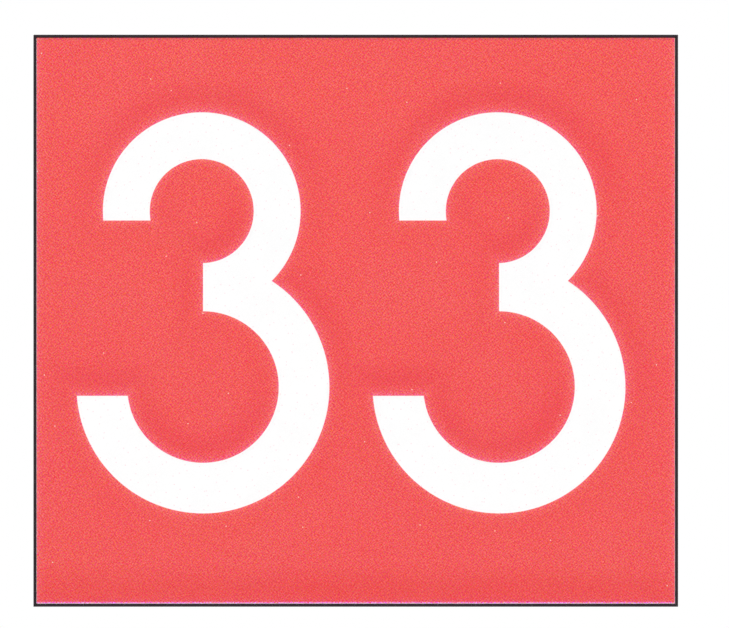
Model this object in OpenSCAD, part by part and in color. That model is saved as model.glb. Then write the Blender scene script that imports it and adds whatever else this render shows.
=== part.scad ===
// Runway holding position sign: a red field with white numerals, set flush in a thin black frame.
// An aluminium sheet carries white reflective sheeting and a red overlay film, whose numeral-shaped
// openings let the white show. It is bonded into four mitred frame rails, and two hat-section back
// rails are riveted across the frame to take the legs. Sizes are in millimetres.
// X runs to the right as the sign is read, Y from the face to the back, and Z up. The origin is the
// middle of the four leg bolts, on the back rails' rear faces.

/* [Sign] */
// Width over the frame
sign_w = 515; // [500:5:760]
// Height over the frame
sign_h = 457; // [440:1:600]

/* [Legend] */
// Height of a numeral
legend_h = 320.5; // [300:0.5:340]
// Outer radius of the upper bowl
upper_bowl_r = 79; // [72:1:86]
// Stroke width of the upper bowl
upper_stroke = 37.5; // [30:0.5:44]
// Outer radius of the lower bowl
lower_bowl_r = 101; // [92:1:108]
// Stroke width of the lower bowl
lower_stroke = 40.5; // [32:0.5:48]
// How far the upper bowl's centre lies left of the lower bowl's
upper_bowl_offset = 1; // [0:0.5:4]
// How far the upper bowl's cut end lies below its centre
upper_tail_drop = 7.5; // [0:0.5:14]
// How far the lower bowl's cut end lies below its centre
lower_tail_drop = 7; // [0:0.5:14]
// Distance between the two numerals' centre lines
numeral_pitch = 236.5; // [224:0.5:260]
// How far the legend lies left of the sign's middle
legend_left = 3.8; // [0:0.1:8]
// How far the legend lies above the sign's middle
legend_up = 6.3; // [0:0.1:12]

/* [Face layers] */
// Thickness of the aluminium sheet
sheet_t = 3.2; // [2:0.1:4]
// Gap between the sheet and the frame
sheet_gap = 0.3; // [0.2:0.1:1]
// Corner radius of the sheet and the films
sheet_corner_r = 0.5; // [0.2:0.1:3]
// Thickness of the white reflective sheeting
sheeting_t = 0.35; // [0.2:0.05:0.6]
// Thickness of the red overlay film
overlay_t = 0.25; // [0.15:0.05:0.5]
// Bare margin under the overlay's bottom edge
overlay_bottom_gap = 0.3; // [0:0.1:2]
// Bare margin beside the overlay's side edges
overlay_side_gap = 0.2; // [0:0.1:2]
// How far the finished face lies behind the frame's front edge
face_recess = 0.3; // [0:0.1:1]
// Thickness of the bonding tape
tape_t = 1.1; // [0.6:0.1:2]
// Width of the bonding tape
tape_w = 10; // [6:0.5:11]

/* [Frame extrusion] */
// Depth of the frame from front to back
frame_depth = 30; // [28:0.5:45]
// Thickness of the outer wall, which shows as the black border
frame_wall = 2.2; // [2:0.1:3.5]
// Radius on the outer wall's edges
arris_r = 0.5; // [0.2:0.1:0.9]
// Width of the ledge that the sheet is bonded to
ledge_w = 12; // [11.5:0.5:18]
// Thickness of the ledge
ledge_t = 2; // [1.5:0.1:3]
// Width of the rear flange inside the wall
flange_w = 18; // [15:0.5:26]
// Thickness of the rear flange
flange_t = 2.6; // [2:0.1:4]
// Height of the lip that stiffens the rear flange
flange_lip_h = 3; // [1:0.5:4]
// Thickness of the lips on the flange and along the key groove
lip_t = 1.5; // [1:0.1:2]
// Length of the lips that hold the corner keys in their groove
key_lip_w = 2.4; // [1.5:0.1:3]
// Clearance at each mitred end
mitre_gap = 0.05; // [0:0.05:0.3]
// Length of a drain slot in the bottom rail
drain_slot_l = 22; // [12:1:40]
// Width of a drain slot
drain_slot_w = 4.5; // [3:0.5:5]
// Distance between the drain slots
drain_pitch = 150; // [80:5:180]

/* [Corner joints] */
// Length of each leg of a corner key
key_leg = 42; // [36:1:60]
// Thickness of a corner key
key_t = 3; // [2:0.1:4]
// Width of a corner key
key_w = 11; // [10:0.5:12]
// Clearance round a corner key in its groove
key_clearance = 0.15; // [0.05:0.05:0.3]
// Distance of the corner screws from the frame's corners
screw_inset = 26; // [20:1:34]
// Diameter of a corner screw
screw_d = 4; // [3.5:0.5:5]
// Diameter of a corner screw's countersunk head
screw_head_d = 7.6; // [6.6:0.1:8]
// Length of a corner screw
screw_l = 6.4; // [5:0.1:8]
// Width across the flats of the corner screw's socket
socket_af = 2.5; // [2:0.5:3]
// Depth of the corner screw's socket
socket_depth = 1.4; // [1:0.1:2]

/* [Back rails] */
// Distance between the upper and the lower back rail
rail_spacing = 240; // [180:5:300]
// Height of a back rail behind the frame
rail_h = 20; // [16:1:32]
// Width of a back rail's web, which the legs bear on
rail_web_w = 34; // [30:1:50]
// Width of each foot past its bend
rail_foot_w = 15; // [12:1:24]
// Thickness of the back rails' metal
rail_t = 2.5; // [2:0.1:3.5]
// Inner radius of the back rails' bends
rail_bend_r = 2.5; // [1.5:0.5:4]
// How far a back rail's ends lie inside the frame's sides
rail_end_gap = 3.5; // [1:0.5:6]

/* [Rivets and leg nuts] */
// Diameter of a rivet's shank
rivet_d = 4.8; // [4:0.2:6]
// Diameter of a rivet's domed head
rivet_head_d = 9.6; // [8:0.2:11]
// Height of a rivet's domed head
rivet_head_h = 1.7; // [1.2:0.1:2.5]
// Diameter of the hollow that the mandrel leaves in the head
rivet_hollow_d = 2.8; // [2:0.1:3.4]
// Depth of the hollow that the mandrel leaves in the head
rivet_hollow_depth = 1; // [0.5:0.1:1.4]
// Diameter of the rivet's upset blind end
rivet_bulb_d = 7.2; // [6.6:0.1:9]
// Height of the rivet's upset blind end
rivet_bulb_h = 3.4; // [2:0.1:5]
// Distance between the two legs' bolts
leg_spacing = 300; // [200:5:380]
// Bore of a leg nut, for an M8 thread
nut_bore_d = 6.8; // [5:0.1:8.4]
// Diameter of the leg nut's pilot, which is pressed into the web
nut_pilot_d = 11; // [10:0.1:12.5]
// Diameter of the leg nut's body
nut_body_d = 15; // [14:0.5:18]
// Height of the leg nut's body inside the rail
nut_body_h = 6; // [4:0.5:9]
// Clearance round screws, rivets and pilots
fastener_clearance = 0.05; // [0.02:0.01:0.1]

/* [Hidden] */
$fn = 96;

// Turns about Y that carry the bottom rail to each side of the frame.
BOTTOM = 0;
LEFT = 90;
TOP = 180;
RIGHT = 270;
SIDES = [BOTTOM, LEFT, TOP, RIGHT];

// Depths along Y, from the frame's front edge back to the back rails' rear faces.
frame_back_y = -rail_h;
frame_front_y = frame_back_y - frame_depth;
overlay_y = frame_front_y + face_recess;
sheeting_y = overlay_y + overlay_t;
sheet_y = sheeting_y + sheeting_t;
tape_y = sheet_y + sheet_t;
ledge_y = tape_y + tape_t;

// The same depths as the frame's profile sees them, from its front edge.
ledge_depth = ledge_y - frame_front_y;
groove_depth = ledge_depth + ledge_t;
groove_w = key_w + 2 * key_clearance;
groove_end = groove_depth + groove_w;
key_middle = groove_depth + groove_w / 2;
groove_floor = frame_wall + key_t + 2 * key_clearance;
flange_depth = frame_depth - flange_t;
drain_middle = (groove_end + lip_t + flange_depth) / 2;
flange_middle = frame_wall + flange_w / 2;
rivet_x = sign_w / 2 - flange_middle;
rivet_hole_d = rivet_d + 2 * fastener_clearance;
pilot_hole_d = nut_pilot_d + 2 * fastener_clearance;

sheet_w = sign_w - 2 * (frame_wall + sheet_gap);
sheet_h = sign_h - 2 * (frame_wall + sheet_gap);
upper_bowl_z = legend_h / 2 - upper_bowl_r;
lower_bowl_z = lower_bowl_r - legend_h / 2;
foot_middle = rail_web_w / 2 + rail_bend_r + rail_foot_w / 2;
rail_outer_r = rail_bend_r + rail_t;
tape_inset = frame_wall + (ledge_w - tape_w) / 2;
through = 1; // how far a cutting shape passes a face

black = [0.16, 0.15, 0.16];
red = [0.95, 0.33, 0.32];
white = [0.97, 0.97, 0.97];
bare_metal = [0.76, 0.77, 0.79];
foam = [0.34, 0.34, 0.35];
steel = [0.62, 0.62, 0.64];

// A flat outline, drawn in X and Z, as a plate that starts at depth y.
module plate(y, thickness) {
    translate([0, y + thickness, 0])
        rotate([90, 0, 0])
            linear_extrude(thickness) children();
}

module rounded_rectangle(size, r) {
    inner = size - [2 * r, 2 * r];
    square([size.x, inner.y], center = true);
    square([inner.x, size.y], center = true);
    for (x = [-1, 1], y = [-1, 1])
        translate([x * inner.x / 2, y * inner.y / 2]) circle(r);
}

// One quarter of a ring between two radii, in the quadrant that the signs give.
module quarter_ring(r_in, r_out, quadrant) {
    intersection() {
        difference() {
            circle(r_out);
            circle(r_in);
        }
        translate([min(quadrant.x, 0) * r_out, min(quadrant.y, 0) * r_out]) square(r_out);
    }
}

// The numeral 3: two bowls of even stroke, joined by a short bar and cut off square at both tails.
// Its own X is 0 at the lower bowl's centre and its Y is 0 at half the numeral's height.
module numeral_three() {
    upper_cut = upper_bowl_z - upper_tail_drop;
    lower_cut = lower_bowl_z - lower_tail_drop;
    upper_centre = [-upper_bowl_offset, upper_bowl_z];
    lower_centre = [0, lower_bowl_z];
    mouth = lower_bowl_r + upper_bowl_offset + through;
    difference() {
        union() {
            translate(upper_centre) circle(upper_bowl_r);
            translate(lower_centre) circle(lower_bowl_r);
        }
        translate(upper_centre) circle(upper_bowl_r - upper_stroke);
        translate(lower_centre) circle(lower_bowl_r - lower_stroke);
        translate([-mouth, lower_cut]) square([mouth, upper_cut - lower_cut]);
    }
}

module legend() {
    translate([-legend_left, legend_up])
        for (side = [-1, 1])
            translate([side * numeral_pitch / 2, 0]) numeral_three();
}

module sign_sheet() {
    color(bare_metal)
        plate(sheet_y, sheet_t) rounded_rectangle([sheet_w, sheet_h], sheet_corner_r);
}

module reflective_sheeting() {
    color(white)
        plate(sheeting_y, sheeting_t) rounded_rectangle([sheet_w, sheet_h], sheet_corner_r);
}

// The red film covers the face but for the numerals and a hairline at its side and bottom edges.
module red_overlay() {
    film = [sheet_w - 2 * overlay_side_gap, sheet_h - overlay_bottom_gap];
    color(red)
        plate(overlay_y, overlay_t)
            difference() {
                translate([0, overlay_bottom_gap / 2]) rounded_rectangle(film, sheet_corner_r);
                legend();
            }
}

// The frame extrusion's section. X is the distance in from the sign's edge, Y the depth from the front.
module frame_profile() {
    wall_middle = frame_wall / 2;
    translate([wall_middle, frame_depth / 2]) rounded_rectangle([frame_wall, frame_depth], arris_r);
    // The ledge behind the sheet, with the groove's first lip on its back.
    translate([wall_middle, ledge_depth]) square([wall_middle + ledge_w, ledge_t]);
    translate([groove_floor, ledge_depth]) square([lip_t, ledge_t + key_lip_w]);
    // The rib that closes the key groove, with the second lip.
    translate([wall_middle, groove_end]) square([groove_floor + lip_t - wall_middle, lip_t]);
    translate([groove_floor, groove_end - key_lip_w]) square([lip_t, key_lip_w + lip_t]);
    // The rear flange and the lip along its edge.
    translate([wall_middle, flange_depth]) square([wall_middle + flange_w, flange_t]);
    translate([frame_wall + flange_w - lip_t, flange_depth - flange_lip_h])
        square([lip_t, flange_lip_h + flange_t]);
}

// Places things drawn for the bottom of the frame at any side of it.
module at_side(side) {
    reach = side == LEFT || side == RIGHT ? sign_w : sign_h;
    rotate([0, side, 0]) translate([0, frame_front_y, -reach / 2]) children();
}

// A hole for a countersunk corner screw, through the outer wall.
module corner_screw_hole() {
    r = screw_d / 2 + fastener_clearance;
    head_r = screw_head_d / 2 + fastener_clearance;
    cylinder(h = head_r - r, r1 = head_r, r2 = r);
    translate([0, 0, -through]) cylinder(h = through, r = head_r);
    cylinder(h = frame_wall + through, r = r);
}

// The corner screws' places along a rail, seen from the bottom of the frame.
module at_corner_screws(length) {
    for (end = [-1, 1])
        translate([end * (length / 2 - screw_inset), key_middle, 0]) children();
}

module drain_slots() {
    straight = drain_slot_l - drain_slot_w;
    for (place = [-1, 0, 1])
        translate([place * drain_pitch, drain_middle, -through]) {
            for (end = [-1, 1])
                translate([end * straight / 2, 0, 0])
                    cylinder(h = frame_wall + 2 * through, d = drain_slot_w);
            translate([-straight / 2, -drain_slot_w / 2, 0])
                cube([straight, drain_slot_w, frame_wall + 2 * through]);
        }
}

// The holes through the rear flange of a side rail, for the back rails' rivets.
module flange_rivet_holes() {
    for (rail = [-1, 1], foot = [-1, 1])
        translate([rail * rail_spacing / 2 + foot * foot_middle, flange_depth - through, flange_middle])
            rotate([-90, 0, 0]) cylinder(h = flange_t + 2 * through, d = rivet_hole_d);
}

// A length of the extrusion with both ends mitred, along the bottom of the frame.
module mitred_rail(length) {
    deep = frame_wall + flange_w + through;
    half = length / 2 - mitre_gap;
    intersection() {
        rotate([0, -90, 0]) linear_extrude(length, center = true) frame_profile();
        translate([0, frame_depth + through, 0])
            rotate([90, 0, 0])
                linear_extrude(frame_depth + 2 * through)
                    polygon([[-half, 0], [half, 0], [half - deep, deep], [deep - half, deep]]);
    }
}

module frame_rail(side) {
    upright = side == LEFT || side == RIGHT;
    length = upright ? sign_h : sign_w;
    color(black)
        at_side(side)
            difference() {
                mitred_rail(length);
                at_corner_screws(length) corner_screw_hole();
                if (side == BOTTOM) drain_slots();
                if (upright) flange_rivet_holes();
            }
}

// A strip of tape along the ledge. The upright strips end at the long ones.
module tape_strip(side) {
    upright = side == LEFT || side == RIGHT;
    length = upright ? sign_h - 2 * (tape_inset + tape_w) : sign_w - 2 * tape_inset;
    color(foam)
        at_side(side)
            translate([-length / 2, tape_y - frame_front_y, tape_inset])
                cube([length, tape_t, tape_w]);
}

// An angle of flat bar that fills the key grooves of two rails, tapped for one screw in each leg.
module corner_key(right, top) {
    start = frame_wall + key_clearance;
    thread_r = screw_d / 2 + fastener_clearance;
    deep = groove_floor + through;
    color(bare_metal)
        mirror([right ? 1 : 0, 0, 0]) mirror([0, 0, top ? 1 : 0])
            translate([-sign_w / 2, 0, -sign_h / 2])
                difference() {
                    plate(frame_front_y + key_middle - key_w / 2, key_w)
                        translate([start, start]) {
                            square([key_leg, key_t]);
                            square([key_t, key_leg]);
                        }
                    translate([screw_inset, frame_front_y + key_middle, 0])
                        cylinder(h = deep, r = thread_r);
                    translate([0, frame_front_y + key_middle, screw_inset])
                        rotate([0, 90, 0]) cylinder(h = deep, r = thread_r);
                }
}

// A countersunk socket screw, from its flush head inward along Z.
module corner_screw() {
    difference() {
        union() {
            cylinder(h = (screw_head_d - screw_d) / 2, d1 = screw_head_d, d2 = screw_d);
            cylinder(h = screw_l, d = screw_d);
        }
        translate([0, 0, -through])
            cylinder(h = socket_depth + through, d = socket_af / cos(30), $fn = 6);
    }
}

module corner_screws() {
    color(steel)
        for (side = SIDES)
            at_side(side)
                at_corner_screws(side == LEFT || side == RIGHT ? sign_h : sign_w)
                    corner_screw();
}

// Half of the hat section: its own X runs out from the middle and its Y back from the frame.
module hat_half() {
    web_flat = rail_web_w / 2 - rail_outer_r;
    foot_start = rail_web_w / 2 + rail_bend_r;
    translate([0, rail_h - rail_t]) square([web_flat, rail_t]);
    translate([web_flat, rail_h - rail_outer_r]) quarter_ring(rail_bend_r, rail_outer_r, [1, 1]);
    translate([rail_web_w / 2 - rail_t, rail_outer_r]) square([rail_t, rail_h - 2 * rail_outer_r]);
    translate([foot_start, rail_outer_r]) quarter_ring(rail_bend_r, rail_outer_r, [-1, -1]);
    translate([foot_start, 0]) square([rail_foot_w, rail_t]);
}

// A hat-section rail across the back of the frame: the upper one for 1, the lower one for -1.
module back_rail(side) {
    length = sign_w - 2 * rail_end_gap;
    color(bare_metal)
        translate([0, frame_back_y, side * rail_spacing / 2])
            difference() {
                rotate([0, -90, 0])
                    linear_extrude(length, center = true) {
                        hat_half();
                        mirror([1, 0]) hat_half();
                    }
                for (x = [-1, 1], foot = [-1, 1])
                    translate([x * rivet_x, -through, foot * foot_middle])
                        rotate([-90, 0, 0]) cylinder(h = rail_t + 2 * through, d = rivet_hole_d);
                for (x = [-1, 1])
                    translate([x * leg_spacing / 2, rail_h - rail_t - through, 0])
                        rotate([-90, 0, 0]) cylinder(h = rail_t + 2 * through, d = pilot_hole_d);
            }
}

// A blind rivet along Z: the upset end under the flange at 0, the domed head over the foot.
module rivet() {
    grip = flange_t + rail_t;
    dome_r = (pow(rivet_head_d / 2, 2) + pow(rivet_head_h, 2)) / (2 * rivet_head_h);
    neck = (rivet_bulb_d - rivet_d) / 4;
    difference() {
        union() {
            cylinder(h = grip + rivet_head_h / 2, d = rivet_d);
            translate([0, 0, -neck]) cylinder(h = neck, d1 = rivet_bulb_d, d2 = rivet_bulb_d - neck);
            translate([0, 0, neck - rivet_bulb_h])
                cylinder(h = rivet_bulb_h - 2 * neck, d = rivet_bulb_d);
            translate([0, 0, -rivet_bulb_h]) cylinder(h = neck, d1 = rivet_d, d2 = rivet_bulb_d);
            intersection() {
                translate([0, 0, grip + rivet_head_h - dome_r]) sphere(dome_r);
                translate([0, 0, grip]) cylinder(h = rivet_head_h, d = rivet_head_d);
            }
        }
        translate([0, 0, grip + rivet_head_h - rivet_hollow_depth])
            cylinder(h = rivet_hollow_depth + through, d = rivet_hollow_d);
    }
}

module rail_rivets() {
    color(bare_metal)
        for (x = [-1, 1], rail = [-1, 1], foot = [-1, 1])
            translate([x * rivet_x, frame_back_y - flange_t,
                       rail * rail_spacing / 2 + foot * foot_middle])
                rotate([-90, 0, 0]) rivet();
}

// A self-clinching nut along Z: its pilot fills the web's hole and its body lies under the web.
module leg_nut() {
    chamfer = (nut_body_d - nut_pilot_d) / 4;
    difference() {
        union() {
            translate([0, 0, -rail_t]) cylinder(h = rail_t, d = nut_pilot_d);
            translate([0, 0, chamfer - rail_t - nut_body_h])
                cylinder(h = nut_body_h - chamfer, d = nut_body_d);
            translate([0, 0, -rail_t - nut_body_h])
                cylinder(h = chamfer, d1 = nut_body_d - 2 * chamfer, d2 = nut_body_d);
        }
        translate([0, 0, -rail_t - nut_body_h - through])
            cylinder(h = rail_t + nut_body_h + 2 * through, d = nut_bore_d);
    }
}

module leg_nuts() {
    color(steel)
        for (x = [-1, 1], rail = [-1, 1])
            translate([x * leg_spacing / 2, 0, rail * rail_spacing / 2])
                rotate([-90, 0, 0]) leg_nut();
}

sign_sheet();
reflective_sheeting();
red_overlay();
frame_rail(TOP);  // frame_top
frame_rail(BOTTOM);  // frame_bottom
frame_rail(LEFT);  // frame_left
frame_rail(RIGHT);  // frame_right
tape_strip(TOP);  // tape_top
tape_strip(BOTTOM);  // tape_bottom
tape_strip(LEFT);  // tape_left
tape_strip(RIGHT);  // tape_right
corner_key(false, true);  // corner_key_top_left
corner_key(true, true);  // corner_key_top_right
corner_key(false, false);  // corner_key_bottom_left
corner_key(true, false);  // corner_key_bottom_right
corner_screws();
back_rail(1);  // back_rail_upper
back_rail(-1);  // back_rail_lower
rail_rivets();
leg_nuts();
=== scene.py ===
import math

import bmesh
import bpy
from mathutils import Matrix, Vector
from mathutils.geometry import tessellate_polygon


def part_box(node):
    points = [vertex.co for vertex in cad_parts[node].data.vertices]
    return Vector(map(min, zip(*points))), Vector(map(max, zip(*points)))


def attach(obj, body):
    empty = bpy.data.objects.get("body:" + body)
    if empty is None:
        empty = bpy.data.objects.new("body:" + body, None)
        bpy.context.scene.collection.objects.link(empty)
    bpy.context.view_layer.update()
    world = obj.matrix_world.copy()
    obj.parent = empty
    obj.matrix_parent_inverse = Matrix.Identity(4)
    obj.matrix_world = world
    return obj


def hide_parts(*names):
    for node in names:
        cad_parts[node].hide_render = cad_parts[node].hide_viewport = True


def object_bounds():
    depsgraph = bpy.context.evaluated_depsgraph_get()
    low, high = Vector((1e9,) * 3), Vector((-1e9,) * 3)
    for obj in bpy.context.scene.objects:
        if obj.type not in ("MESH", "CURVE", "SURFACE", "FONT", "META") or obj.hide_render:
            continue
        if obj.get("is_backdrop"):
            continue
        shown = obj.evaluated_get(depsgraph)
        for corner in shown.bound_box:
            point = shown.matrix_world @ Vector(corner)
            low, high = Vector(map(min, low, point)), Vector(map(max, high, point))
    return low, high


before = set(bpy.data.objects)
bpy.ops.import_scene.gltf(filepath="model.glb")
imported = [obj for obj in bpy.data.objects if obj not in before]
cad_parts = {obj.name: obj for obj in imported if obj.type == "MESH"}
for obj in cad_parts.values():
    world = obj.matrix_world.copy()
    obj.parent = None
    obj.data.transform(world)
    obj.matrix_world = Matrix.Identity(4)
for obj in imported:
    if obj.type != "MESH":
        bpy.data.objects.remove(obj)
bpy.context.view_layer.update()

# Sign sheet
# The sheet that carries both films is rolled aluminium, sheared to size, deburred and etched.
# It is taped by its edges to the frame's ledge, and only its back shows, behind the back rails.

MM = 0.001


class Reading:
    """A number that changes over a surface. Sums with it make the finish's math nodes."""

    def __init__(self, tree, socket):
        self.tree = tree
        self.socket = socket

    def calc(self, operation, *others):
        """This reading put through a math node with others, which are readings or numbers."""
        made = self.tree.nodes.new("ShaderNodeMath")
        made.operation = operation
        for socket, value in zip(made.inputs, (self, *others)):
            if isinstance(value, Reading):
                self.tree.links.new(value.socket, socket)
            else:
                socket.default_value = value
        return Reading(self.tree, made.outputs[0])

    def __add__(self, other):
        return self.calc("ADD", other)

    def __sub__(self, other):
        return self.calc("SUBTRACT", other)

    def __mul__(self, other):
        return self.calc("MULTIPLY", other)

    __radd__ = __add__
    __rmul__ = __mul__

    def __rsub__(self, other):
        return self * -1 + other

    def ramp(self, start, end, low=0.0, high=1.0):
        """Goes smoothly from low at start to high at end, and stays level past both."""
        made = self.tree.nodes.new("ShaderNodeMapRange")
        made.interpolation_type = "SMOOTHSTEP"
        self.tree.links.new(self.socket, made.inputs["Value"])
        for name, value in (("From Min", start), ("From Max", end), ("To Min", low), ("To Max", high)):
            made.inputs[name].default_value = value
        return Reading(self.tree, made.outputs["Result"])


NOISE_MIDDLE = 0.5
NOISE_SWING = 0.25


class Finish:
    """One surface finish: a shader with its plain colour, and readings in millimetres that vary it."""

    def __init__(self, name, colour, roughness, metallic=0.0, specular=0.5):
        self.material = bpy.data.materials.new(name)
        self.material.use_nodes = True
        self.tree = self.material.node_tree
        self.shader = self.tree.nodes["Principled BSDF"]
        self.shader.inputs["Base Color"].default_value = (*colour, 1)
        self.shader.inputs["Roughness"].default_value = roughness
        self.shader.inputs["Metallic"].default_value = metallic
        self.shader.inputs["Specular IOR Level"].default_value = specular
        where = self.tree.nodes.new("ShaderNodeTexCoord")
        in_mm = self.tree.nodes.new("ShaderNodeVectorMath")
        in_mm.operation = "SCALE"
        in_mm.inputs["Scale"].default_value = 1 / MM
        self.tree.links.new(where.outputs["Object"], in_mm.inputs[0])
        self.place = in_mm.outputs[0]
        parts = self.tree.nodes.new("ShaderNodeSeparateXYZ")
        self.tree.links.new(self.place, parts.inputs[0])
        self.x = Reading(self.tree, parts.outputs["X"])
        self.z = Reading(self.tree, parts.outputs["Z"])

    def squeezed(self, size, stretch, start=(0, 0, 0)):
        """The place on the surface, counted in patterns of that size, each drawn out by stretch."""
        made = self.tree.nodes.new("ShaderNodeVectorMath")
        made.operation = "MULTIPLY_ADD"
        self.tree.links.new(self.place, made.inputs[0])
        made.inputs[1].default_value = [1 / (size * s) for s in stretch]
        made.inputs[2].default_value = start
        return made.outputs[0]

    def mottle(self, size, stretch=(1, 1, 1), detail=2.0):
        """Soft random patches about 0, mostly between -1 and 1, that repeat over size millimetres."""
        made = self.tree.nodes.new("ShaderNodeTexNoise")
        made.inputs["Scale"].default_value = 1
        made.inputs["Detail"].default_value = detail
        self.tree.links.new(self.squeezed(size, stretch), made.inputs["Vector"])
        return (Reading(self.tree, made.outputs[0]) - NOISE_MIDDLE) * (1 / NOISE_SWING)

    def grains(self, size, stretch=(1, 1, 1), start=(0, 0, 0)):
        """Three random numbers from -1 to 1 for each grain of about that size."""
        made = self.tree.nodes.new("ShaderNodeTexVoronoi")
        made.inputs["Scale"].default_value = 1
        self.tree.links.new(self.squeezed(size, stretch, start), made.inputs["Vector"])
        parts = self.tree.nodes.new("ShaderNodeSeparateColor")
        self.tree.links.new(made.outputs["Color"], parts.inputs[0])
        return [Reading(self.tree, out) * 2 - 1 for out in parts.outputs]

    def even_grains(self, size, apart):
        """Grains that gather into no larger patches: each has the mean of its neighbours taken off."""
        own = self.grains(size)
        step = apart / size
        spots = ((step, 0, 0), (-step, 0, 0), (0, 0, step), (0, 0, -step))
        neighbours = [self.grains(size, start=spot) for spot in spots]
        return [own[i] - sum(grain[i] for grain in neighbours) * (1 / len(spots)) for i in range(3)]

    def pinholes(self, spacing, r):
        """1 inside pinholes of radius r that lie about that far apart, and 0 round them."""
        made = self.tree.nodes.new("ShaderNodeTexVoronoi")
        made.voronoi_dimensions = "2D"
        made.inputs["Scale"].default_value = 1
        turned = self.tree.nodes.new("ShaderNodeCombineXYZ")
        for socket, value in zip(turned.inputs, (self.x * (1 / spacing), self.z * (1 / spacing))):
            self.tree.links.new(value.socket, socket)
        self.tree.links.new(turned.outputs[0], made.inputs["Vector"])
        return Reading(self.tree, made.outputs["Distance"]).ramp(r / spacing, r / spacing / 2)

    def colour(self, red, green, blue):
        made = self.tree.nodes.new("ShaderNodeCombineColor")
        for socket, reading in zip(made.inputs, (red, green, blue)):
            self.tree.links.new(reading.socket, socket)
        self.tree.links.new(made.outputs[0], self.shader.inputs["Base Color"])

    def shade(self, dark, light, reading):
        """Colours the surface from dark where reading is 0 to light where it is 1."""
        self.colour(*(reading.ramp(0, 1, low, high) for low, high in zip(dark, light)))

    def drive(self, name, reading):
        self.tree.links.new(reading.socket, self.shader.inputs[name])

    def relief(self, height):
        """Raises the surface by height, in millimetres."""
        made = self.tree.nodes.new("ShaderNodeBump")
        made.inputs["Strength"].default_value = 1
        made.inputs["Distance"].default_value = MM
        self.tree.links.new(height.socket, made.inputs["Height"])
        self.tree.links.new(made.outputs[0], self.shader.inputs["Normal"])


def rolled_aluminium():
    finish = Finish("rolled_aluminium", (0.60, 0.61, 0.62), 0.42, metallic=1.0)
    clouds = finish.mottle(70, detail=4)
    streaks = finish.mottle(1.2, stretch=(60, 1, 1), detail=3)
    finish.shade((0.50, 0.51, 0.525), (0.70, 0.71, 0.715), 0.5 + clouds * 0.22 + streaks * 0.16)
    finish.drive("Roughness", 0.44 + clouds * 0.05 + streaks * 0.04)
    finish.relief(streaks * 0.004)
    return finish.material


SAME_PLACE = 0.002
SHARP_BEND = 40


def dress(node, material, edge=0.0):
    """Gives a carried-over node its finish and, where edge isn't 0, breaks its sharp edges."""
    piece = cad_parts[node]
    for slot in piece.material_slots:
        slot.material = material
    if edge:
        weld = piece.modifiers.new("weld", "WELD")
        weld.merge_threshold = SAME_PLACE * MM
        bevel = piece.modifiers.new("broken_edge", "BEVEL")
        bevel.width = edge * MM
        bevel.segments = 2
        bevel.limit_method = "ANGLE"
        bevel.angle_limit = math.radians(SHARP_BEND)
        bevel.harden_normals = True


SHEET_EDGE = 0.15
dress("sign_sheet", rolled_aluminium(), edge=SHEET_EDGE)

# White sheeting
# The sheeting is a white retroreflective film with glass beads under a clear skin, bonded all over
# the sheet's front. It shows as the numerals, with faint specks of stray ink, and as a hairline
# beside and under the red film.

BEAD = 0.45
SPECK_SPACING = 8.5
SPECK_R = 0.55


def beaded_white():
    finish = Finish("beaded_white", (0.93, 0.93, 0.925), 0.30)
    bead, _, _ = finish.grains(BEAD)
    haze = finish.mottle(25, detail=3)
    stray_ink = finish.pinholes(SPECK_SPACING, SPECK_R) * (1 + haze * 0.5)
    tone = 0.935 + bead * 0.018 + haze * 0.008
    finish.colour(tone, tone - stray_ink * 0.2, tone - stray_ink * 0.16)
    finish.relief(bead * 0.004)
    return finish.material


dress("reflective_sheeting", beaded_white())

# Red film
# The red is a film printed in a magenta and a yellow pass, with both numerals cut out before it is
# laid on the white. The inks thin out at each cut, heavier above the white and near the foot, and the
# yellow lies a little high, so that cuts show a pink rim above the white and a warm one below it.

LEGEND_H = 320.5
UPPER_R = 79.0
UPPER_STROKE = 37.5
LOWER_R = 101.0
LOWER_STROKE = 40.5
UPPER_OFFSET = 1.0
UPPER_TAIL_DROP = 7.5
LOWER_TAIL_DROP = 7.0
NUMERAL_PITCH = 236.5
LEGEND_LEFT = 3.8
LEGEND_UP = 6.3
UPPER_Z = LEGEND_H / 2 - UPPER_R
LOWER_Z = LOWER_R - LEGEND_H / 2
UPPER_COUNTER_R = UPPER_R - UPPER_STROKE
LOWER_COUNTER_R = LOWER_R - LOWER_STROKE
UPPER_CUT = UPPER_Z - UPPER_TAIL_DROP
LOWER_CUT = LOWER_Z - LOWER_TAIL_DROP
ARC_STEP = math.radians(2)


def arc(centre, r, start, end):
    """Points along an arc from one point to another: clockwise if r is below 0."""
    first = math.atan2(start[1] - centre[1], start[0] - centre[0])
    last = math.atan2(end[1] - centre[1], end[0] - centre[0])
    turn = (last - first) % math.tau if r > 0 else -((first - last) % math.tau)
    count = max(2, round(abs(turn) / ARC_STEP))
    angles = (first + turn * i / count for i in range(count))
    return [(centre[0] + abs(r) * math.cos(t), centre[1] + abs(r) * math.sin(t)) for t in angles]


def reach(r, rise):
    """How far a circle of radius r reaches sideways at that rise above its centre."""
    return math.sqrt(r * r - rise * rise)


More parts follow.
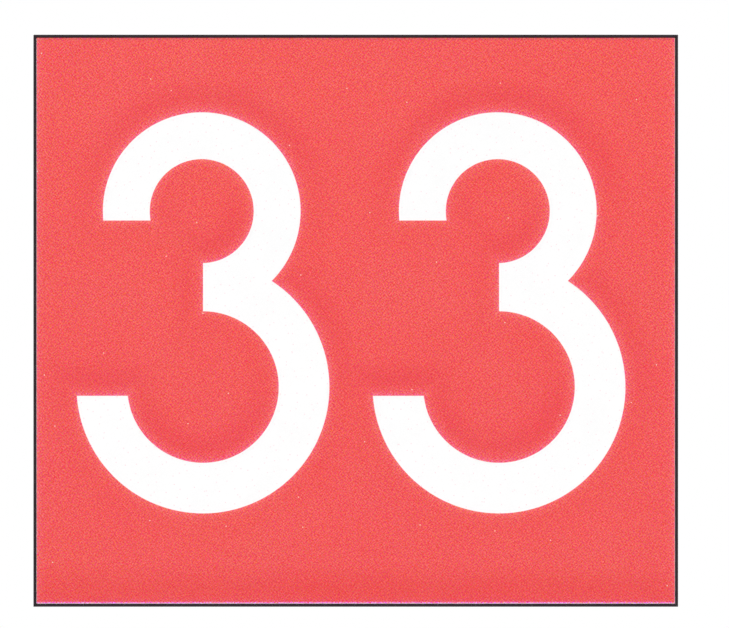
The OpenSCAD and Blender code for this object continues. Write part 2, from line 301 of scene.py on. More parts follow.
def numeral_outline():
    """The numeral 3, clockwise from the outer corner of its upper tail, about its own middle."""
    upper, lower = (-UPPER_OFFSET, UPPER_Z), (0.0, LOWER_Z)
    upper_tail = (-UPPER_OFFSET - reach(UPPER_R, UPPER_TAIL_DROP), UPPER_CUT)
    upper_tail_in = (-UPPER_OFFSET - reach(UPPER_COUNTER_R, UPPER_TAIL_DROP), UPPER_CUT)
    lower_tail = (-reach(LOWER_R, LOWER_TAIL_DROP), LOWER_CUT)
    lower_tail_in = (-reach(LOWER_COUNTER_R, LOWER_TAIL_DROP), LOWER_CUT)
    bar_low = (0.0, LOWER_Z + LOWER_COUNTER_R)
    bar_high = (0.0, UPPER_Z - reach(UPPER_COUNTER_R, UPPER_OFFSET))
    # The waist is where the two outer circles cross on the right.
    apart = math.dist(upper, lower)
    along = (apart**2 + LOWER_R**2 - UPPER_R**2) / (2 * apart)
    across = reach(LOWER_R, along)
    up = ((upper[0] - lower[0]) / apart, (upper[1] - lower[1]) / apart)
    waist = (lower[0] + up[0] * along + up[1] * across, lower[1] + up[1] * along - up[0] * across)
    return [
        *arc(upper, -UPPER_R, upper_tail, waist),
        *arc(lower, -LOWER_R, waist, lower_tail),
        lower_tail,
        *arc(lower, LOWER_COUNTER_R, lower_tail_in, bar_low),
        bar_low,
        *arc(upper, UPPER_COUNTER_R, bar_high, upper_tail_in),
        upper_tail_in,
    ]


def finish_piece(name, build, material, slot, *nodes):
    """Turns a built bmesh into a piece that rides on the sign in place of those nodes."""
    bmesh.ops.recalc_face_normals(build, faces=build.faces)
    mesh = bpy.data.meshes.new(name)
    build.to_mesh(mesh)
    build.free()
    mesh.materials.append(material)
    piece = bpy.data.objects.new(name, mesh)
    bpy.context.scene.collection.objects.link(piece)
    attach(piece, "root")
    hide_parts(*nodes)
    return piece


def cut_film(name, material, slot, node):
    """The film's sheet with both numerals cut through it, as large and as thick as the node."""
    low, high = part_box(node)
    build = bmesh.new()
    loops = [[(low.x, low.z), (high.x, low.z), (high.x, high.z), (low.x, high.z)]]
    for side in (-1, 1):
        middle = side * NUMERAL_PITCH / 2 - LEGEND_LEFT
        loops.append([((middle + x) * MM, (LEGEND_UP + z) * MM) for x, z in numeral_outline()])
    edges = []
    for loop in loops:
        corners = [build.verts.new((x, low.y, z)) for x, z in loop]
        edges += [build.edges.new((corners[i - 1], corners[i])) for i in range(len(corners))]
    front = bmesh.ops.triangle_fill(build, use_beauty=True, edges=edges)["geom"]
    front = [f for f in front if isinstance(f, bmesh.types.BMFace)]
    back = bmesh.ops.extrude_face_region(build, geom=front, use_keep_orig=True)["geom"]
    thickness = Vector((0, high.y - low.y, 0))
    bmesh.ops.translate(build, vec=thickness, verts=[v for v in back if isinstance(v, bmesh.types.BMVert)])
    return finish_piece(name, build, material, slot, node)


def legend_distance(x, z):
    """How far a point lies from the numerals, in millimetres: above 0 on the red."""
    across = x + LEGEND_LEFT
    u = across - across.calc("SIGN") * (NUMERAL_PITCH / 2)
    v = z - LEGEND_UP

    def from_centre(du, dv):
        return (du * du + dv * dv).calc("SQRT")

    from_upper = from_centre(u + UPPER_OFFSET, v - UPPER_Z)
    from_lower = from_centre(u, v - LOWER_Z)
    outside = (from_upper - UPPER_R).calc("MINIMUM", from_lower - LOWER_R)
    counter = (UPPER_COUNTER_R - from_upper).calc("MAXIMUM", LOWER_COUNTER_R - from_lower)
    mouth = (0.0 - u).calc("MINIMUM", UPPER_CUT - v).calc("MINIMUM", v - LOWER_CUT)
    return outside.calc("MAXIMUM", counter).calc("MAXIMUM", mouth)


# Each triple is for red, green and blue.
FULL_INK = (0.838, 0.0826, 0.0790)
GRAIN_CONTRAST = (0.12, 1.3, 1.2)
GRAIN_DEPTH = (2.0, 0.7, 0.7)
# Part of the grain is shared by all three colours, and the rest lies loose or evened out.
GRAIN = 0.72
GRAIN_APART = 1.15
SHARED_GRAIN = 0.78
SHARED_PART = 0.24
LOOSE_PART = 0.2
EVEN_PART = 0.56
# How far to the right and up an ink's own cuts lie from the film's.
MAGENTA_CUT = (-0.15, -0.2)
YELLOW_CUT = (0.0, 0.95)
LOOK_DOWN = 13.0
SIDE_GAP = 0.6
PINHOLE_SPACING = 75
PINHOLE_R = 0.6
PINHOLE_GREEN = 0.7
PINHOLE_BLUE = 0.6


def printed_red_with_painted_shade(film):
    """The two inks on the film, magenta holding back the green and yellow the blue, and painted shade under
    the top rail.
    """
    low, high = (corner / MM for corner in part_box(film))
    finish = Finish("printed_red_with_painted_shade", (0.79, 0.083, 0.08), 0.36)
    side_edge = (finish.x - low.x).calc("MINIMUM", high.x - finish.x) + SIDE_GAP
    bottom_edge = finish.z - low.z
    top_edge = high.z - finish.z

    def from_cut(right, up):
        """The distance from an ink's own cut, which lies that far off the film's."""
        return legend_distance(finish.x - right, finish.z - up)

    def thinning(distance, past_bottom, fade):
        """1 at an ink's cuts and edges, fading inwards. Its bottom edge lies that far past the film's."""
        near = distance.calc("MINIMUM", side_edge).calc("MINIMUM", bottom_edge + past_bottom)
        return (near.calc("MAXIMUM", 0.0) * (-1 / fade)).calc("EXPONENT")

    # Each ramp runs between two distances from a cut or an edge, in millimetres.
    from_magenta_cut = from_cut(*MAGENTA_CUT)
    above_white = (from_magenta_cut - from_cut(0.0, LOOK_DOWN)).ramp(-9, LOOK_DOWN)
    heavy = from_magenta_cut.ramp(3, 11) * from_magenta_cut.ramp(32, 13)
    lower = finish.z.ramp(high.z, low.z)
    foot = bottom_edge.ramp(35, 10)
    # Painted shade: the red is darkened over the last few millimetres under the top rail, where the rail's
    # shadow falls.
    painted_shade_under_rail = top_edge.ramp(2.4, 0.3)
    bare = bottom_edge.ramp(1.3, 0.7)
    thin_magenta = thinning(from_magenta_cut, past_bottom=2.5, fade=2.2)
    thin_yellow = thinning(from_cut(*YELLOW_CUT), past_bottom=0.5, fade=1.9)
    clouds = finish.mottle(45)
    green_clouds = finish.mottle(80, stretch=(1, 1, 0.7))
    blue_clouds = finish.mottle(65, stretch=(1.4, 1, 1))
    # What turns the red lighter, or darker where it is below 0, by these shares: the inks' clouds and heavier
    # patches, a darkening towards the bottom, and painted shade under the top rail.
    shares = (
        (clouds, (0, 0.02, 0.02)),
        (green_clouds, (0, 0.05, 0)),
        (blue_clouds, (0, 0, 0.05)),
        (heavy, (-0.006, -0.035, -0.05)),
        (heavy * above_white, (-0.03, -0.2, -0.085)),
        (lower, (-0.018, -0.085, -0.035)),
        (foot, (-0.04, -0.21, -0.23)),
        (painted_shade_under_rail, (-0.2, 0.10, 0.18)),
    )
    # How much of the white shows through where an ink runs out.
    shown = (
        (thin_magenta, (0.05, 0.06, 0)),
        (thin_yellow, (0, 0, 0.115)),
        (bare, (0.06, 0.12, 0.39)),
    )
    loose = finish.grains(GRAIN)
    even = finish.even_grains(GRAIN, GRAIN_APART)
    shared = finish.grains(SHARED_GRAIN, stretch=(1.2, 1, 1), start=(7, 3, 5))[0]
    light = []
    for i in range(3):
        share = sum(state * amounts[i] for state, amounts in shares if amounts[i])
        white = sum(state * amounts[i] for state, amounts in shown if amounts[i])
        grain = shared * SHARED_PART + loose[i] * LOOSE_PART + even[i] * EVEN_PART
        contrast = grain.calc("MAXIMUM", -GRAIN_DEPTH[i]) * GRAIN_CONTRAST[i]
        light.append((FULL_INK[i] * (1 + share) + white) * (1 + contrast))
    red, green, blue = light
    hole = finish.pinholes(PINHOLE_SPACING, PINHOLE_R)
    finish.colour(red, green.calc("MAXIMUM", hole * PINHOLE_GREEN), blue.calc("MAXIMUM", hole * PINHOLE_BLUE))
    finish.drive("Roughness", 0.36 + clouds * 0.02)
    finish.relief(loose[0] * 0.003 + finish.mottle(9) * 0.006)
    return finish.material


cut_film("red_film", printed_red_with_painted_shade("red_overlay"), "red_film", "red_overlay")

# Frame rails
# The four rails are one black powder-coated aluminium extrusion, cut to length with mitred ends.
# The outer wall is the black border, and inside it are the sheet's ledge, the groove for the corner
# keys, and the rear flange. The bottom rail has three drain slots.

frame_low, frame_high = (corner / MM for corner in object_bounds())
FRAME_FRONT = frame_low.y
SIGN_W = frame_high.x - frame_low.x
SIGN_H = frame_high.z - frame_low.z
FRAME_DEPTH = 30.0
WALL = 2.2
ARRIS_R = 0.5
SOFT_R = 0.3
ROOT_R = 0.8
LEDGE_AT = 5.2
LEDGE_W = 12.0
LEDGE_T = 2.0
GROOVE_W = 11.3
GROOVE_FLOOR = WALL + 3.3
LIP_T = 1.5
KEY_LIP = 2.4
FLANGE_W = 18.0
FLANGE_T = 2.6
FLANGE_LIP = 3.0
MITRE_GAP = 0.05
MITRE_EDGE = 0.12
SCREW_INSET = 26.0
KEY_MIDDLE = LEDGE_AT + LEDGE_T + GROOVE_W / 2
DRAIN_AT = 23.7
DRAIN_L = 22.0
DRAIN_W = 4.5
DRAIN_PITCH = 150.0
SCREW_R = 2.0
SCREW_HEAD_R = 3.8
RIVET_R = 2.4
FASTENER_ROOM = 0.05
RAIL_SPACING = 240.0
FOOT_MIDDLE = 27.0
ROUND_STEPS = 4
SLOT_END_STEPS = 12


def rounded(corners):
    """An outline through corners of (x, y, radius), each rounded to its radius."""
    points = []
    for i, (x, y, r) in enumerate(corners):
        here = Vector((x, y))
        before = Vector(corners[i - 1][:2]) - here
        after = Vector(corners[(i + 1) % len(corners)][:2]) - here
        if r == 0:
            points.append((x, y))
            continue
        half = before.angle(after) / 2
        start = here + before.normalized() * r / math.tan(half)
        end = here + after.normalized() * r / math.tan(half)
        centre = here + (before.normalized() + after.normalized()).normalized() * r / math.sin(half)
        steps = max(2, math.ceil(ROUND_STEPS * math.sqrt(r)))
        for k in range(steps + 1):
            swing = (start - centre).lerp(end - centre, k / steps)
            points.append(tuple(centre + swing.normalized() * r))
    return points


def frame_section():
    """The extrusion's section: distance in from the sign's edge, and depth from the front."""
    groove = LEDGE_AT + LEDGE_T
    groove_end = groove + GROOVE_W
    flange = FRAME_DEPTH - FLANGE_T
    ledge_edge = WALL + LEDGE_W
    flange_edge = WALL + FLANGE_W
    lip = GROOVE_FLOOR + LIP_T
    return rounded([
        (0, 0, ARRIS_R),
        (WALL, 0, ARRIS_R),
        (WALL, LEDGE_AT, ROOT_R / 2),
        (ledge_edge, LEDGE_AT, SOFT_R),
        (ledge_edge, groove, SOFT_R),
        (lip, groove, ROOT_R / 2),
        (lip, groove + KEY_LIP, SOFT_R),
        (GROOVE_FLOOR, groove + KEY_LIP, SOFT_R),
        (GROOVE_FLOOR, groove, 0),
        (WALL, groove, 0),
        (WALL, groove_end, 0),
        (GROOVE_FLOOR, groove_end, 0),
        (GROOVE_FLOOR, groove_end - KEY_LIP, SOFT_R),
        (lip, groove_end - KEY_LIP, SOFT_R),
        (lip, groove_end + LIP_T, SOFT_R),
        (WALL, groove_end + LIP_T, ROOT_R),
        (WALL, flange, ROOT_R),
        (flange_edge - LIP_T, flange, ROOT_R),
        (flange_edge - LIP_T, flange - FLANGE_LIP, SOFT_R),
        (flange_edge, flange - FLANGE_LIP, SOFT_R),
        (flange_edge, FRAME_DEPTH, SOFT_R),
        (0, FRAME_DEPTH, ARRIS_R),
    ])


def inset(section, by):
    """The section's outline, drawn in by that much all round."""
    drawn_in = []
    for i, (a, b) in enumerate(section):
        before = Vector(section[i - 1]) - Vector((a, b))
        after = Vector(section[(i + 1) % len(section)]) - Vector((a, b))
        inward = Vector((before.y - after.y, after.x - before.x)).normalized() * by
        drawn_in.append((a + inward.x, b + inward.y))
    return drawn_in


def at_side(side):
    """Turns what is drawn for the bottom rail to a side of the sign: 0 bottom, 1 left, 2 top, 3 right."""
    out = (SIGN_W if side % 2 else SIGN_H) / 2
    turned = Matrix.Rotation(math.radians(90 * side), 4, "Y")
    return Matrix.Scale(MM, 4) @ turned @ Matrix.Translation((0, FRAME_FRONT, -out))


def sweep(build, section, stations):
    """Carries a section through stations, each a list of its points' places, and closes both ends."""
    rings = [[build.verts.new(spot) for spot in station] for station in stations]
    for first, second in zip(rings, rings[1:]):
        for i in range(len(section)):
            build.faces.new((first[i - 1], first[i], second[i], second[i - 1]))
    for corners in tessellate_polygon([[Vector((a, b, 0)) for a, b in section]]):
        for ring in (rings[0], rings[-1]):
            build.faces.new([ring[i] for i in corners])


TURNED_STEPS = 48


def lathe(build, outline, place, segments=TURNED_STEPS):
    """Turns an outline of (radius, height) about Z into a closed solid, where place puts it."""
    rings = []
    for r, height in outline:
        if r == 0:
            rings.append([build.verts.new(place @ Vector((0, 0, height)))])
            continue
        turns = (math.tau * i / segments for i in range(segments))
        spots = (Vector((r * math.cos(t), r * math.sin(t), height)) for t in turns)
        rings.append([build.verts.new(place @ spot) for spot in spots])
    for lower, upper in zip(rings, rings[1:] + rings[:1]):
        if len(lower) == 1 and len(upper) == 1:
            continue
        for i in range(segments):
            corners = [lower[i % len(lower)], lower[i - 1] if len(lower) > 1 else None]
            corners += [upper[i - 1] if len(upper) > 1 else None, upper[i % len(upper)]]
            build.faces.new([c for c in corners if c])


def cut_away(piece, tool):
    """Cuts a built bmesh out of a piece."""
    bmesh.ops.recalc_face_normals(tool, faces=tool.faces)
    mesh = bpy.data.meshes.new("tool")
    tool.to_mesh(mesh)
    tool.free()
    cutter = bpy.data.objects.new("tool", mesh)
    bpy.context.scene.collection.objects.link(cutter)
    cut = piece.modifiers.new("cut", "BOOLEAN")
    cut.operation = "DIFFERENCE"
    cut.solver = "EXACT"
    cut.object = cutter
    result = bpy.data.meshes.new_from_object(piece.evaluated_get(bpy.context.evaluated_depsgraph_get()))
    piece.modifiers.clear()
    piece.data = result
    bpy.data.objects.remove(cutter)


def soften(piece, angle=35):
    """Shades a piece smooth, apart from edges sharper than angle, and keeps its flats flat."""
    for face in piece.data.polygons:
        face.use_smooth = True
    piece.data.set_sharp_from_angle(angle=math.radians(angle))
    flats = piece.modifiers.new("flats", "WEIGHTED_NORMAL")
    flats.keep_sharp = True


def slot_cutter(build, place, length, width, deep):
    """A round-ended slot along X, centred on place and cut through Z."""
    straight = (length - width) / 2
    outline = []
    for end in (1, -1):
        for step in range(SLOT_END_STEPS + 1):
            turn = math.pi * (step / SLOT_END_STEPS - end / 2)
            outline.append((end * straight + width / 2 * math.cos(turn), width / 2 * math.sin(turn)))
    rings = [[build.verts.new(place @ Vector((x, y, z))) for x, y in outline] for z in (-deep, deep)]
    build.faces.new(rings[0][::-1])
    build.faces.new(rings[1])
    for i in range(len(outline)):
        build.faces.new((rings[0][i - 1], rings[0][i], rings[1][i], rings[1][i - 1]))


FACING_BACK = Matrix.Rotation(math.radians(-90), 4, "X")
TOOL_REACH = 1


def frame_tools(side):
    """What is drilled and milled out of a rail: its screw holes, rivet holes and drain slots."""
    tool = bmesh.new()
    length = SIGN_H if side % 2 else SIGN_W
    r, head_r = SCREW_R + FASTENER_ROOM, SCREW_HEAD_R + FASTENER_ROOM
    for end in (-1, 1):
        hole = at_side(side) @ Matrix.Translation((end * (length / 2 - SCREW_INSET), KEY_MIDDLE, 0))
        drilled = [(r, head_r - r), (r, WALL + TOOL_REACH), (0, WALL + TOOL_REACH)]
        lathe(tool, [(0, -TOOL_REACH), (head_r + TOOL_REACH, -TOOL_REACH), *drilled], hole)
    if side % 2:
        for rail in (-1, 1):
            for foot in (-1, 1):
                along = rail * RAIL_SPACING / 2 + foot * FOOT_MIDDLE
                spot = Matrix.Translation((along, FRAME_DEPTH - FLANGE_T - TOOL_REACH, WALL + FLANGE_W / 2))
                hole_r = RIVET_R + FASTENER_ROOM
                deep = FLANGE_T + 2 * TOOL_REACH
                outline = [(0, 0), (hole_r, 0), (hole_r, deep), (0, deep)]
                lathe(tool, outline, at_side(side) @ spot @ FACING_BACK)
    if side == 0:
        for k in (-1, 0, 1):
            drain = at_side(0) @ Matrix.Translation((k * DRAIN_PITCH, DRAIN_AT, WALL / 2))
            slot_cutter(tool, drain, DRAIN_L, DRAIN_W, WALL)
    return tool


def black_powder_coat():
    finish = Finish("black_powder_coat", (0.02, 0.01, 0.012), 0.58, specular=0.26)
    speck = finish.grains(0.7)
    peel = finish.mottle(1.6, detail=1)
    clouds = finish.mottle(30, detail=3)
    tone = 1 + speck[0] * 0.2 + peel * 0.12 + clouds * 0.15
    finish.colour(tone * 0.019, tone * 0.0105, tone * 0.0145)
    finish.drive("Roughness", 0.58 + clouds * 0.05)
    finish.relief(peel * 0.02 + speck[1] * 0.004)
    return finish.material


def frame_rail(side, name, material):
    length = SIGN_H if side % 2 else SIGN_W
    section = frame_section()
    build = bmesh.new()
    place = at_side(side)
    stations = []
    for end, back in ((-1, 0), (-1, MITRE_EDGE), (1, MITRE_EDGE), (1, 0)):
        half = length / 2 - MITRE_GAP - back
        outline = inset(section, MITRE_EDGE - back)
        stations.append([place @ Vector((end * (half - a), b, a)) for a, b in outline])
    sweep(build, section, stations)
    rail = finish_piece(name + "_rail", build, material, "frame_black", name)
    cut_away(rail, frame_tools(side))
    soften(rail)


coat = black_powder_coat()
for side, name in enumerate(("frame_bottom", "frame_left", "frame_top", "frame_right")):
    frame_rail(side, name, coat)

# Bonding tape
# Four strips of grey acrylic foam tape hold the sheet on the frame's ledge. They lie between the
# two, so that no fastener shows on the face.

FOAM_CELL = 0.25


def acrylic_foam():
    finish = Finish("acrylic_foam", (0.09, 0.09, 0.095), 0.75)
    cells = finish.grains(FOAM_CELL)
    tone = 0.085 + cells[0] * 0.02
    finish.colour(tone, tone, tone * 1.05)
    finish.relief(cells[1] * 0.03)
    return finish.material


foam = acrylic_foam()
for side in ("top", "bottom", "left", "right"):
    dress("tape_" + side, foam)

# Corner keys
# A key is an angle of sawn aluminium bar that fills the grooves of two rails and squares the
# corner. One sits in each corner of the frame, out of sight once the rails are closed up.

KEY_EDGE = 0.2


def sawn_bar():
    finish = Finish("sawn_bar", (0.55, 0.56, 0.57), 0.38, metallic=1.0)
    cuts = finish.mottle(0.6, stretch=(8, 1, 8), detail=2)
    finish.shade((0.46, 0.47, 0.48), (0.64, 0.65, 0.66), 0.5 + cuts * 0.3)
    finish.relief(cuts * 0.01)
    return finish.material


bar = sawn_bar()
for corner in ("top_left", "top_right", "bottom_left", "bottom_right"):
    dress("corner_key_" + corner, bar, edge=KEY_EDGE)

# Corner screws
# The screws are turned from stainless steel, countersunk and flush, with a hexagon socket. Two go
# through the rails' outer walls into each corner key.

SCREW_L = 6.4
SCREW_SUNK = 0.02
SCREW_RIM = 0.15
SCREW_POINT = 0.6
SOCKET_W = 2.5
SOCKET_R = SOCKET_W / 2 / math.cos(math.radians(30))
SOCKET_DEEP = 1.4
SOCKET_CONE = 0.5
SOCKET_TURN = 20
SCREW_BEND = 30


def turned_stainless():
    finish = Finish("turned_stainless", (0.58, 0.57, 0.56), 0.26, metallic=1.0)
    smears = finish.mottle(2.5, detail=3)
    finish.shade((0.50, 0.49, 0.48), (0.66, 0.655, 0.645), 0.5 + smears * 0.4)
    finish.drive("Roughness", 0.27 + smears * 0.06)
    return finish.material


def corner_screws(material):
    cone = 2 * SCREW_RIM
    outline = [
        (0, SCREW_SUNK),
        (SCREW_HEAD_R - SCREW_RIM, SCREW_SUNK),
        (SCREW_HEAD_R, SCREW_RIM),
        (SCREW_HEAD_R, cone),
        (SCREW_R, SCREW_HEAD_R - SCREW_R + cone),
        (SCREW_R, SCREW_L - SCREW_POINT),
        (SCREW_R - SCREW_POINT, SCREW_L),
        (0, SCREW_L),
    ]
    socket = [
        (0, -TOOL_REACH),
        (SOCKET_R, -TOOL_REACH),
        (SOCKET_R, SOCKET_DEEP),
        (0, SOCKET_DEEP + SOCKET_CONE),
    ]
    build = bmesh.new()
    sockets = bmesh.new()
    for side in range(4):
        length = SIGN_H if side % 2 else SIGN_W
        for end in (-1, 1):
            place = at_side(side) @ Matrix.Translation((end * (length / 2 - SCREW_INSET), KEY_MIDDLE, 0))
            lathe(build, outline, place)
            lathe(sockets, socket, place @ Matrix.Rotation(math.radians(SOCKET_TURN), 4, "Z"), segments=6)
    piece = finish_piece("socket_screws", build, material, "screw_steel", "corner_screws")
    cut_away(piece, sockets)
    soften(piece, SCREW_BEND)


corner_screws(turned_stainless())

# Back rails
# The two back rails are hat sections, roll formed from aluminium strip and left as milled. Their
# feet are riveted to the frame's side rails, and the legs bolt to their webs.

RAIL_W = 508.0
RAIL_H = 20.0
RAIL_WEB_W = 34.0
RAIL_T = 2.5
BEND_R = 2.5
FOOT_EDGE = 34.5
FOOT_R = 0.2
RAIL_EDGE = 0.25
RIVET_X = SIGN_W / 2 - WALL - FLANGE_W / 2
LEG_SPACING = 300.0
PILOT_R = 5.5


def mill_aluminium():
    finish = Finish("mill_aluminium", (0.62, 0.63, 0.64), 0.34, metallic=1.0)
    lines = finish.mottle(0.5, stretch=(300, 1, 1), detail=3)
    clouds = finish.mottle(60, detail=3)
    finish.shade((0.46, 0.47, 0.48), (0.68, 0.685, 0.69), 0.5 + lines * 0.2 + clouds * 0.15)
    finish.drive("Roughness", 0.36 + lines * 0.05 + clouds * 0.05)
    finish.relief(lines * 0.006)
    return finish.material


def hat_section():
    """The rail's section: distance from its middle, and height behind the frame."""
    wall = RAIL_WEB_W / 2
    inner = wall - RAIL_T
    half = rounded([
        (FOOT_EDGE, 0, FOOT_R),
        (FOOT_EDGE, RAIL_T, FOOT_R),
        (wall, RAIL_T, BEND_R),
        (wall, RAIL_H, BEND_R + RAIL_T),
        (0, RAIL_H, 0),
        (0, RAIL_H - RAIL_T, 0),
        (inner, RAIL_H - RAIL_T, BEND_R),
        (inner, 0, BEND_R + RAIL_T),
    ])
    last = half.index((0, RAIL_H))
    outer, inside = half[:last], half[last + 2:]
    return outer + [(-a, b) for a, b in (inside + outer)[::-1]] + inside


def back_rail(side, name, material):
    frame_back = FRAME_FRONT + FRAME_DEPTH
    place = Matrix.Scale(MM, 4) @ Matrix.Translation((0, frame_back, side * RAIL_SPACING / 2))
    section = hat_section()
    build = bmesh.new()
    stations = []
    for end, back in ((-1, 0), (-1, RAIL_EDGE), (1, RAIL_EDGE), (1, 0)):
        x = end * (RAIL_W / 2 - back)
        stations.append([place @ Vector((x, b, a)) for a, b in inset(section, RAIL_EDGE - back)])
    sweep(build, section, stations)
    rail = finish_piece(name + "_hat", build, material, "rail_aluminium", name)
    holes = bmesh.new()
    for x in (-1, 1):
        spots = [(x * RIVET_X, foot * FOOT_MIDDLE, 0, RIVET_R + FASTENER_ROOM) for foot in (-1, 1)]
        spots.append((x * LEG_SPACING / 2, 0, RAIL_H - RAIL_T, PILOT_R))
        for along, across, start, r in spots:
            hole = place @ Matrix.Translation((along, start - TOOL_REACH, across)) @ FACING_BACK
            deep = RAIL_T + 2 * TOOL_REACH
            lathe(holes, [(0, 0), (r, 0), (r, deep), (0, deep)], hole)
    cut_away(rail, holes)
    soften(rail)


mill = mill_aluminium()
back_rail(1, "back_rail_upper", mill)
back_rail(-1, "back_rail_lower", mill)

# Rivets
# Each back rail is held by four blind rivets with aluminium bodies. Their steel mandrels have
# snapped off inside the heads.

RIVET_HEAD_R = 4.8
RIVET_HEAD_H = 1.7
RIVET_HOLLOW_R = 1.4
RIVET_HOLLOW_DEEP = 1.0
RIVET_MOUTH_R = RIVET_HOLLOW_R + 0.12
RIVET_MOUTH_DEEP = 0.15
RIVET_RIM_H = 0.35
RIVET_DOME_END = 73
RIVET_DOME_STEP = 8
RIVET_UNDERCUT = 0.1
RIVET_BULB_R = 3.6
RIVET_BULB_H = 3.4
BULB_ROUND = 0.5
BULB_START = 0.05
BULB_SWELL = 0.7
BULB_END = 0.6
MANDREL_R = 1.1
MANDREL_GAP = 0.02
MANDREL_H = 0.45
MANDREL_NECK_R = 0.75
MANDREL_NECK_H = 0.6
MANDREL_DISH_H = 0.5
FASTENER_BEND = 40
GRIP = FLANGE_T + RAIL_T


def drawn_rivet():
    finish = Finish("drawn_rivet", (0.66, 0.66, 0.67), 0.28, metallic=1.0)
    smears = finish.mottle(3, detail=3)
    finish.shade((0.52, 0.525, 0.53), (0.72, 0.72, 0.73), 0.5 + smears * 0.35)
    finish.drive("Roughness", 0.30 + smears * 0.07)
    finish.relief(finish.mottle(0.8) * 0.01)
    return finish.material


def snapped_steel():
    finish = Finish("snapped_steel", (0.36, 0.35, 0.34), 0.48, metallic=1.0)
    torn = finish.mottle(0.5, detail=3)
    finish.shade((0.24, 0.235, 0.23), (0.46, 0.455, 0.445), 0.5 + torn * 0.4)
    finish.relief(torn * 0.06)
    return finish.material


def at_rivets():
    """The place of each rivet, on the flange's inner face, with its Z pointing back."""
    for x in (-1, 1):
        for rail in (-1, 1):
            for foot in (-1, 1):
                up = rail * RAIL_SPACING / 2 + foot * FOOT_MIDDLE
                spot = Matrix.Translation((x * RIVET_X, FRAME_FRONT + FRAME_DEPTH - FLANGE_T, up))
                yield Matrix.Scale(MM, 4) @ spot @ FACING_BACK


def rivets(body, core):
    head = GRIP + RIVET_HEAD_H
    floor = head - RIVET_HOLLOW_DEEP
    stub = floor + MANDREL_GAP
    rim = GRIP + RIVET_RIM_H
    angles = [math.radians(degrees) for degrees in range(0, RIVET_DOME_END, RIVET_DOME_STEP)]
    dome = [(RIVET_HEAD_R * math.cos(t), rim + (RIVET_HEAD_H - RIVET_RIM_H) * math.sin(t)) for t in angles]
    outline = [
        (0, floor),
        (RIVET_HOLLOW_R, floor),
        (RIVET_HOLLOW_R, head - RIVET_MOUTH_DEEP),
        (RIVET_MOUTH_R, head),
        *dome[::-1],
        (RIVET_HEAD_R - RIVET_UNDERCUT, GRIP),
        (RIVET_R, GRIP),
        (RIVET_R, 0),
        (RIVET_BULB_R - BULB_ROUND, -BULB_START),
        (RIVET_BULB_R, -BULB_SWELL),
        (RIVET_BULB_R, BULB_END - RIVET_BULB_H),
        (RIVET_R + BULB_ROUND, -RIVET_BULB_H),
        (0, -RIVET_BULB_H),
    ]
    snapped = [
        (0, stub),
        (MANDREL_R, stub),
        (MANDREL_R, floor + MANDREL_H),
        (MANDREL_NECK_R, floor + MANDREL_NECK_H),
        (0, floor + MANDREL_DISH_H),
    ]
    build = bmesh.new()
    stubs = bmesh.new()
    for place in at_rivets():
        lathe(build, outline, place)
        lathe(stubs, snapped, place)
    soften(finish_piece("blind_rivets", build, body, "rivet_aluminium", "rail_rivets"), FASTENER_BEND)
    soften(finish_piece("rivet_mandrels", stubs, core, "rivet_aluminium"), FASTENER_BEND)


rivets(drawn_rivet(), snapped_steel())

# Leg nuts
# Four zinc-plated steel nuts are pressed into the back rails' webs from inside, flush behind, and
# take the M8 bolts of the legs.

NUT_BODY_R = 7.5
NUT_BODY_H = 6.0
NUT_BORE_R = 3.4
THREAD_R = 4.0
THREAD_PITCH = 1.25
THREAD_STEPS = 10
THREAD_RUNOUT = 6
NUT_MOUTH_R = THREAD_R + 0.1
NUT_END_R = PILOT_R + 0.35
NUT_TAPER = 0.9
NUT_EDGE = 0.2


def zinc_plate():
    finish = Finish("zinc_plate", (0.60, 0.60, 0.57), 0.30, metallic=1.0)
    bloom = finish.mottle(4, detail=3)
    finish.shade((0.46, 0.47, 0.44), (0.66, 0.66, 0.62), 0.5 + bloom * 0.35)
    finish.drive("Roughness", 0.32 + bloom * 0.06)
    return finish.material


def nut_rings():
    """The nut's surface as rings of (radius, height), from its inner end round to the thread's end."""
    bottom = -RAIL_T - NUT_BODY_H
    lead = THREAD_R - NUT_BORE_R
    body = [
        (NUT_END_R, bottom),
        (NUT_BODY_R, bottom + NUT_TAPER),
        (NUT_BODY_R, -RAIL_T),
        (PILOT_R, -RAIL_T),
        (PILOT_R, -NUT_EDGE),
        (PILOT_R - NUT_EDGE, 0),
        (NUT_MOUTH_R, 0),
    ]
    rings = [[point] * TURNED_STEPS for point in body]
    steps = round((-bottom - 2 * lead) / (THREAD_PITCH / THREAD_STEPS))
    for k in range(steps + 1):
        height = -lead + (bottom + 2 * lead) * k / steps
        runout = min(1, k / THREAD_RUNOUT, (steps - k) / THREAD_RUNOUT)
        ring = []
        for i in range(TURNED_STEPS):
            phase = (height / THREAD_PITCH + i / TURNED_STEPS) % 1
            ring.append((NUT_BORE_R + lead * abs(2 * phase - 1) * runout, height))
        rings.append(ring)
    return rings + [[(NUT_MOUTH_R, bottom)] * TURNED_STEPS]


def leg_nuts(material):
    build = bmesh.new()
    turns = [math.tau * i / TURNED_STEPS for i in range(TURNED_STEPS)]
    for x in (-1, 1):
        for rail in (-1, 1):
            middle = Matrix.Translation((x * LEG_SPACING / 2, 0, rail * RAIL_SPACING / 2))
            place = Matrix.Scale(MM, 4) @ middle @ FACING_BACK
            made = []
            for ring in nut_rings():
                spots = (Vector((r * math.cos(t), r * math.sin(t), h)) for t, (r, h) in zip(turns, ring))
                made.append([build.verts.new(place @ spot) for spot in spots])
            for first, second in zip(made, made[1:] + made[:1]):
                for i in range(TURNED_STEPS):
                    build.faces.new((first[i - 1], first[i], second[i], second[i - 1]))
    soften(finish_piece("clinch_nuts", build, material, "nut_steel", "leg_nuts"), FASTENER_BEND)


leg_nuts(zinc_plate())

# Camera, floor and light
# The camera looks square at the face through a long lens, from far enough off to flatten it as the
# picture does. The sign stands clear of a pale floor, as it does on its legs, in soft light from
# above, the front and the back.

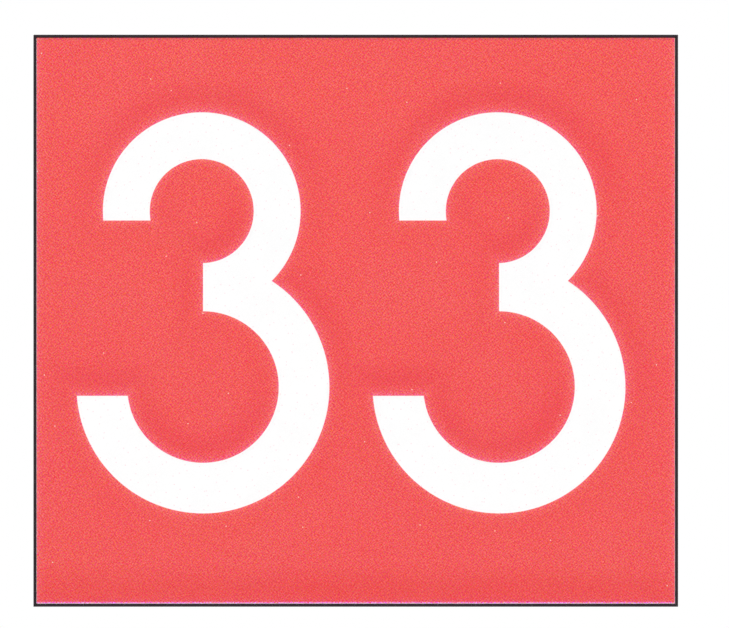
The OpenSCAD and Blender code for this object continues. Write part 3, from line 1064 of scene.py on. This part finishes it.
PICTURE_W = 729
PICTURE_H = 628
MM_PER_PIXEL = 0.79878
SIGN_MIDDLE_PX = (355.75, 320.73)
LENS = 300.0
SENSOR = 36.0
VIEW_END = 100
FLOOR_R = 4500
LEG_ROOM = 305
FLOOR_WHITE = 0.85
FLOOR_ROUGHNESS = 0.9


def set_camera():
    data = bpy.data.cameras.new("camera")
    data.lens = LENS
    data.sensor_width = SENSOR
    data.clip_end = VIEW_END
    camera = bpy.data.objects.new("camera", data)
    bpy.context.scene.collection.objects.link(camera)
    away = PICTURE_W * MM_PER_PIXEL * MM * LENS / SENSOR
    right = (PICTURE_W / 2 - SIGN_MIDDLE_PX[0]) * MM_PER_PIXEL * MM
    up = (SIGN_MIDDLE_PX[1] - PICTURE_H / 2) * MM_PER_PIXEL * MM
    camera.location = (right, FRAME_FRONT * MM - away, up)
    camera.rotation_euler = (math.radians(90), 0, 0)
    bpy.context.scene.camera = camera


def lay_floor():
    build = bmesh.new()
    bmesh.ops.create_circle(build, cap_ends=True, segments=96, radius=FLOOR_R * MM)
    mesh = bpy.data.meshes.new("floor")
    build.to_mesh(mesh)
    build.free()
    floor = bpy.data.objects.new("floor", mesh)
    floor.location.z = (frame_low.z - LEG_ROOM) * MM
    bpy.context.scene.collection.objects.link(floor)
    pale = bpy.data.materials.new("pale_floor")
    pale.use_nodes = True
    shader = pale.node_tree.nodes["Principled BSDF"]
    shader.inputs["Base Color"].default_value = (FLOOR_WHITE, FLOOR_WHITE, FLOOR_WHITE, 1)
    shader.inputs["Roughness"].default_value = FLOOR_ROUGHNESS
    mesh.materials.append(pale)
    floor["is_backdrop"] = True


def soft_light(name, place, size, power):
    """A panel of light that faces the sign from a place in metres, and isn't seen itself."""
    data = bpy.data.lights.new(name, "AREA")
    data.shape = "RECTANGLE"
    data.size, data.size_y = size
    data.energy = power
    lamp = bpy.data.objects.new(name, data)
    lamp.location = place
    lamp.rotation_euler = (Vector((0, 0, 0)) - Vector(place)).to_track_quat("-Z", "Y").to_euler()
    lamp.visible_camera = False
    bpy.context.scene.collection.objects.link(lamp)


def light_room():
    """A white room that shines less from below, and five panels of light."""
    world = bpy.data.worlds.new("room")
    world.use_nodes = True
    tree = world.node_tree
    seen = tree.nodes["Background"]
    seen.inputs["Color"].default_value = (1, 1, 1, 1)
    lit = tree.nodes.new("ShaderNodeBackground")
    where = tree.nodes.new("ShaderNodeTexCoord")
    parts = tree.nodes.new("ShaderNodeSeparateXYZ")
    tree.links.new(where.outputs["Generated"], parts.inputs[0])
    rise = Reading(tree, parts.outputs["Z"]).ramp(-0.05, 0.75, 0.20, 0.85)
    tree.links.new(rise.socket, lit.inputs["Strength"])
    path = tree.nodes.new("ShaderNodeLightPath")
    mix = tree.nodes.new("ShaderNodeMixShader")
    tree.links.new(path.outputs["Is Camera Ray"], mix.inputs[0])
    tree.links.new(lit.outputs[0], mix.inputs[1])
    tree.links.new(seen.outputs[0], mix.inputs[2])
    tree.links.new(mix.outputs[0], tree.nodes["World Output"].inputs["Surface"])
    bpy.context.scene.world = world
    soft_light("overhead", (0, 0.5, 4.2), (3.6, 3.2), 40)
    soft_light("front_left", (-2.4, -4.8, 2.2), (2.2, 2.2), 96)
    soft_light("front_right", (2.8, -4.8, 2.0), (2.2, 2.2), 88)
    soft_light("back_left", (-3.2, 4.0, 2.6), (2.0, 1.6), 40)
    soft_light("back_right", (2.6, 4.4, 3.2), (2.0, 1.6), 58)
    bpy.context.scene.view_settings.view_transform = "Standard"


set_camera()
lay_floor()
light_room()
